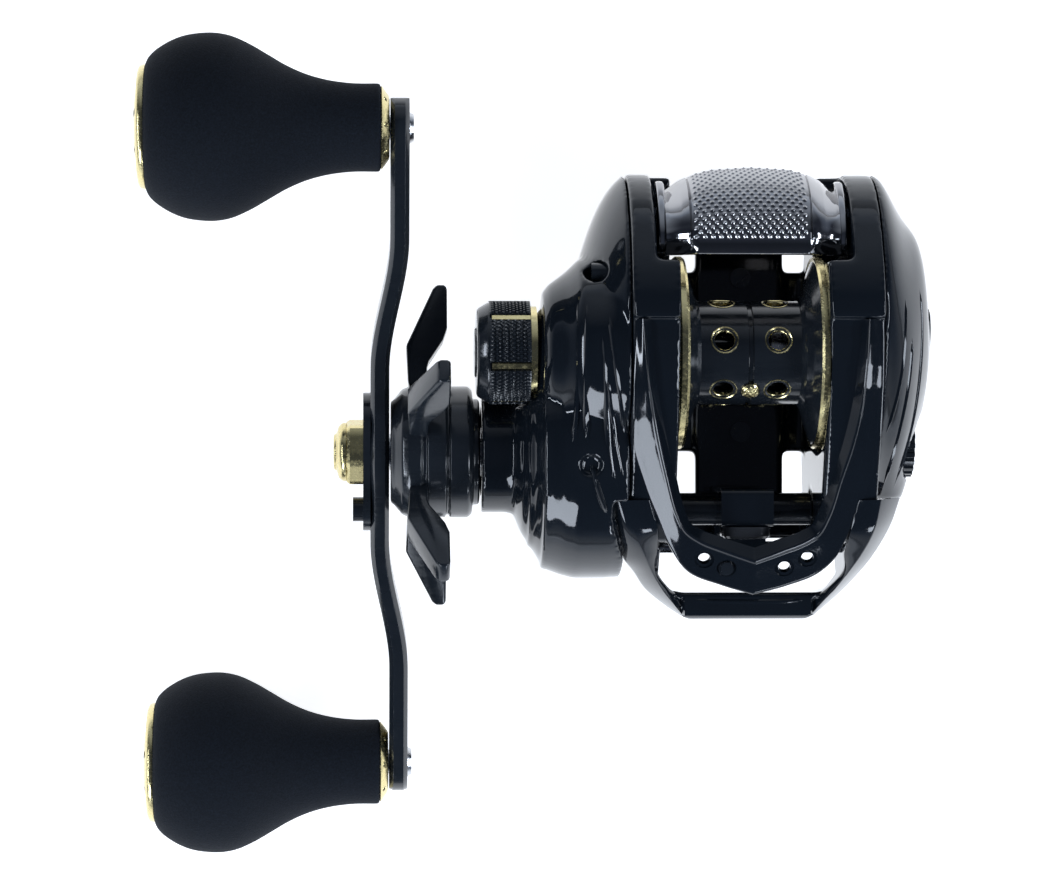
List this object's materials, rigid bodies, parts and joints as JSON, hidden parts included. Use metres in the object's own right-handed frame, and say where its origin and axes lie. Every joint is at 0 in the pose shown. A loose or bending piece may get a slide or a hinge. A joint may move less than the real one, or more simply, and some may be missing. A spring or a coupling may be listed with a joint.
{
  "type": "baitcasting reel",
  "caption": "Low-profile baitcasting reel with a vented spool, star drag, twin foam-knob handle, thumb bar clutch and a line guide on a cross-wound worm.",
  "frame": {"origin": "on the axis of the rod that the foot's saddle sits on, under the middle of the foot", "axes": "+Y along the rod towards the angler (thumb bar end), +Z away from the rod through the foot, +X towards the palm side; the handle is on the -X side"},
  "size_m": [0.1304, 0.1356, 0.0586],
  "materials": {
    "black_coat": "high gloss",
    "black_anodised": "satin",
    "gold_anodised": "polished",
    "smoked_chrome": "polished",
    "eva_foam": "matte foam",
    "steel": "ground",
    "brass": "machined",
    "black_plastic": "moulded",
    "carbon_washer": "woven",
    "ceramic": "polished",
    "magnet": "plated",
    "bare_aluminium": "machined"
  },
  "bodies": {
    "frame": {"frame": "black_coat", "reel_foot": "black_coat", "foot_rivets": "black_anodised", "front_guard": "black_coat", "front_hood": "black_coat", "gear_plate": "black_plastic", "handle_side_cover": "black_coat", "cover_screws": "black_anodised", "spool_bearing_left": "steel", "pinion_bearing": "steel", "drive_shaft_bearing": "steel", "anti_reverse_bearing": "steel", "worm_tube": "black_anodised", "worm_bushings": "black_plastic", "guide_bar": "steel", "yoke_posts": "steel", "thumb_springs": "steel"},
    "palm_cover": {"palm_side_cover": "black_coat", "brake_housing": "black_plastic", "brake_magnets": "magnet", "spool_bearing_right": "steel"},
    "brake_dial": {"brake_dial": "black_anodised"},
    "spool": {"spool": "black_anodised", "flange_rings": "gold_anodised", "line_pin": "gold_anodised", "spool_shaft": "steel", "spool_pin": "steel", "brake_rotor": "bare_aluminium"},
    "yoke": {"yoke": "black_plastic"},
    "pinion": {"pinion": "brass"},
    "clutch_cam": {"clutch_cam": "black_plastic"},
    "worm": {"worm_shaft": "steel", "worm_gear": "black_plastic"},
    "line_guide": {"line_guide": "black_coat", "guide_insert": "ceramic", "pawl": "steel", "pawl_cap": "black_anodised"},
    "thumb_bar": {"thumb_bar": "smoked_chrome"},
    "handle": {"drive_shaft": "steel", "drive_gear": "brass", "drag_washers": "carbon_washer", "ratchet_wheel": "steel", "wind_gear": "black_plastic", "handle_arm": "black_anodised", "handle_nut": "gold_anodised", "nut_retainer": "black_anodised", "retainer_screw": "black_anodised", "knob_shafts": "steel"},
    "star": {"star_wheel": "black_anodised"},
    "knob_a": {"knob_a_grip": "eva_foam", "knob_a_cap": "gold_anodised", "knob_a_collar": "gold_anodised", "knob_a_bearings": "steel"},
    "knob_b": {"knob_b_grip": "eva_foam", "knob_b_cap": "gold_anodised", "knob_b_collar": "gold_anodised", "knob_b_bearings": "steel"},
    "tension_knob": {"tension_knob": "black_anodised", "tension_ring": "gold_anodised", "tension_shim": "black_plastic"}
  },
  "joints": [
    {"name": "handle_turn", "type": "hinge", "parent": "frame", "child": "handle", "pos_m": [0, -0.0163, 0.01973], "axis": [1, 0, 0], "continuous": true},
    {"name": "spool_spin", "type": "hinge", "parent": "frame", "child": "spool", "pos_m": [0, 0, 0.029], "axis": [1, 0, 0], "continuous": true},
    {"name": "thumb_bar_press", "type": "slide", "parent": "frame", "child": "thumb_bar", "axis": [0, 0, -1], "range_m": [0, 0.0036], "stiffness_N_per_m": 700, "springref_m": -0.0015, "deforming": ["thumb_springs"]},
    {"name": "clutch_cam_turn", "type": "hinge", "parent": "frame", "child": "clutch_cam", "pos_m": [0, 0, 0.029], "axis": [-1, 0, 0], "range_deg": [0, 18]},
    {"name": "yoke_slide", "type": "slide", "parent": "frame", "child": "yoke", "axis": [-1, 0, 0], "range_m": [0, 0.0012]},
    {"name": "pinion_spin", "type": "hinge", "parent": "yoke", "child": "pinion", "pos_m": [0, 0, 0.029], "axis": [1, 0, 0], "continuous": true},
    {"name": "worm_spin", "type": "hinge", "parent": "frame", "child": "worm", "pos_m": [0, -0.0258, 0.01973], "axis": [1, 0, 0], "continuous": true},
    {"name": "line_guide_slide", "type": "slide", "parent": "frame", "child": "line_guide", "axis": [1, 0, 0], "range_m": [-0.007, 0.0068]},
    {"name": "star_turn", "type": "hinge", "parent": "handle", "child": "star", "pos_m": [0, -0.0163, 0.01973], "axis": [1, 0, 0], "range_deg": [-180, 360]},
    {"name": "knob_a_spin", "type": "hinge", "parent": "handle", "child": "knob_a", "pos_m": [0, 0.03634, 0.03384], "axis": [1, 0, 0], "continuous": true},
    {"name": "knob_b_spin", "type": "hinge", "parent": "handle", "child": "knob_b", "pos_m": [0, -0.06894, 0.00563], "axis": [1, 0, 0], "continuous": true},
    {"name": "tension_knob_turn", "type": "hinge", "parent": "frame", "child": "tension_knob", "pos_m": [0, 0, 0.029], "axis": [1, 0, 0], "range_deg": [-360, 360]},
    {"name": "palm_cover_slide", "type": "slide", "parent": "frame", "child": "palm_cover", "axis": [1, 0, 0], "range_m": [0, 0.03]},
    {"name": "brake_dial_turn", "type": "hinge", "parent": "palm_cover", "child": "brake_dial", "pos_m": [0, -0.0145, 0.0225], "axis": [1, 0, 0], "range_deg": [-150, 150]}
  ],
  "couplings": [
    {"joint": "spool_spin", "follows": "handle_turn", "ratio": -6.5},
    {"joint": "pinion_spin", "follows": "handle_turn", "ratio": -6.5},
    {"joint": "worm_spin", "follows": "handle_turn", "ratio": -1.375},
    {"joint": "clutch_cam_turn", "follows": "thumb_bar_press", "rad_per_m": 87.266},
    {"joint": "yoke_slide", "follows": "thumb_bar_press", "ratio": 0.3333}
  ]
}
